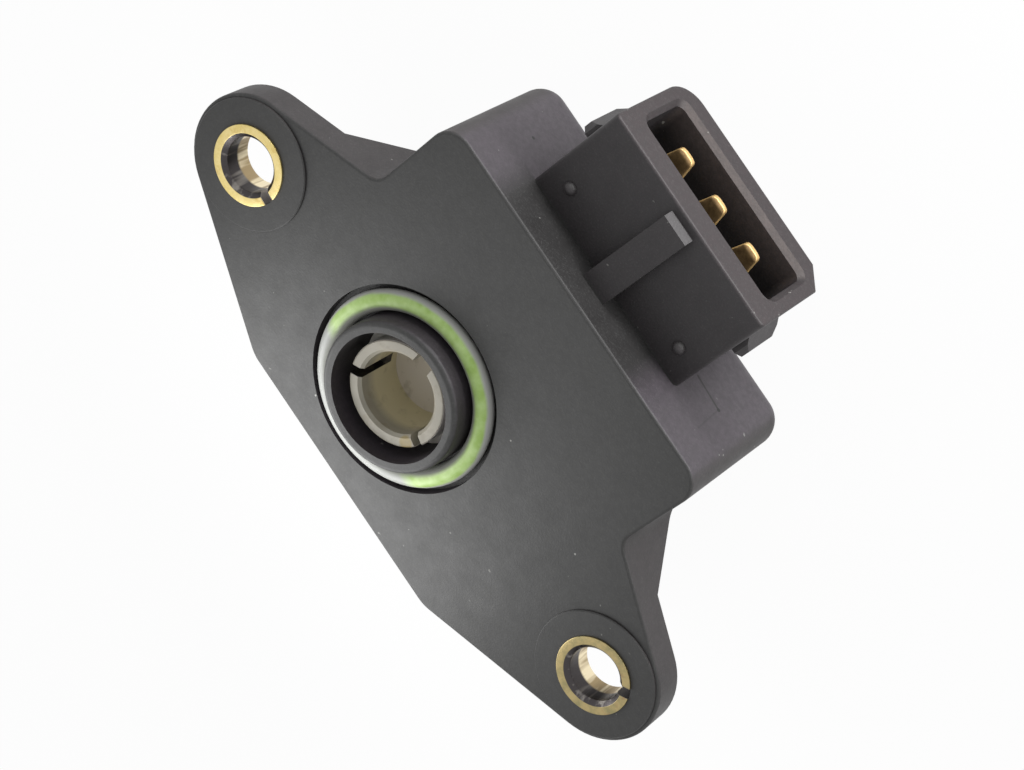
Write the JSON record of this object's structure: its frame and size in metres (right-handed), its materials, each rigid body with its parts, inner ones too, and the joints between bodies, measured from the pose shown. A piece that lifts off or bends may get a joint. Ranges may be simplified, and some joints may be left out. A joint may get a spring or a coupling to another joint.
{
  "type": "throttle position sensor",
  "caption": "Rotary throttle position sensor with two screw ears, ring seal, slotted rotor socket and a side plug shroud with blade terminals.",
  "frame": {"origin": "on the rotor's axis, in the mounting plane touched by the two bushings", "axes": "+Z along the rotor's axis out of the mounting face, towards the throttle body; +X along the line of the two screw holes; +Y towards the plug's mouth"},
  "size_m": [0.0694, 0.0461, 0.0197],
  "materials": {
    "housing_plastic": "moulded glass-filled plastic, fine dull grain",
    "bushing_brass": "plated, satin",
    "ring_rubber": "green elastomer with a thin film of grease",
    "rotor_plastic": "ivory acetal, semi-matte",
    "seal_rubber": "dull",
    "washer_plastic": "smooth low-friction sheet",
    "spring_steel": "drawn wire",
    "carrier_plastic": "moulded",
    "brush_metal": "thin sprung sheet, bright",
    "clip_steel": "stamped",
    "board_laminate": "laminate, smooth",
    "track_carbon": "printed carbon film",
    "conductor_silver": "printed metal film",
    "terminal_metal": "plated blade, bright",
    "rivet_brass": "turned",
    "cover_plastic": "moulded glass-filled plastic",
    "bush_bronze": "sintered",
    "gasket_rubber": "dull"
  },
  "bodies": {
    "housing_body": {"housing": "housing_plastic", "mounting_bushing_left": "bushing_brass", "mounting_bushing_right": "bushing_brass", "face_o_ring": "ring_rubber", "return_spring": "spring_steel", "resistor_board": "board_laminate", "resistor_track": "track_carbon", "collector_track": "conductor_silver", "track_conductors": "conductor_silver", "terminal_supply": "terminal_metal", "terminal_signal": "terminal_metal", "terminal_ground": "terminal_metal", "contact_rivets": "rivet_brass", "rear_cover": "cover_plastic", "pivot_bush": "bush_bronze", "cover_seal": "gasket_rubber"},
    "rotor": {"rotor_hub": "rotor_plastic", "rotor_seal": "seal_rubber", "thrust_washer": "washer_plastic", "wiper_carrier": "carrier_plastic", "wiper_brush": "brush_metal", "carrier_clip": "clip_steel"}
  },
  "joints": [
    {"name": "rotor_turn", "type": "hinge", "parent": "housing_body", "child": "rotor", "pos_m": [0, 0, 0], "axis": [0, 0, 1], "range_deg": [0, 92], "stiffness_Nm_per_rad": 0.006, "springref_deg": -28.65, "deforming": ["return_spring"]}
  ]
}
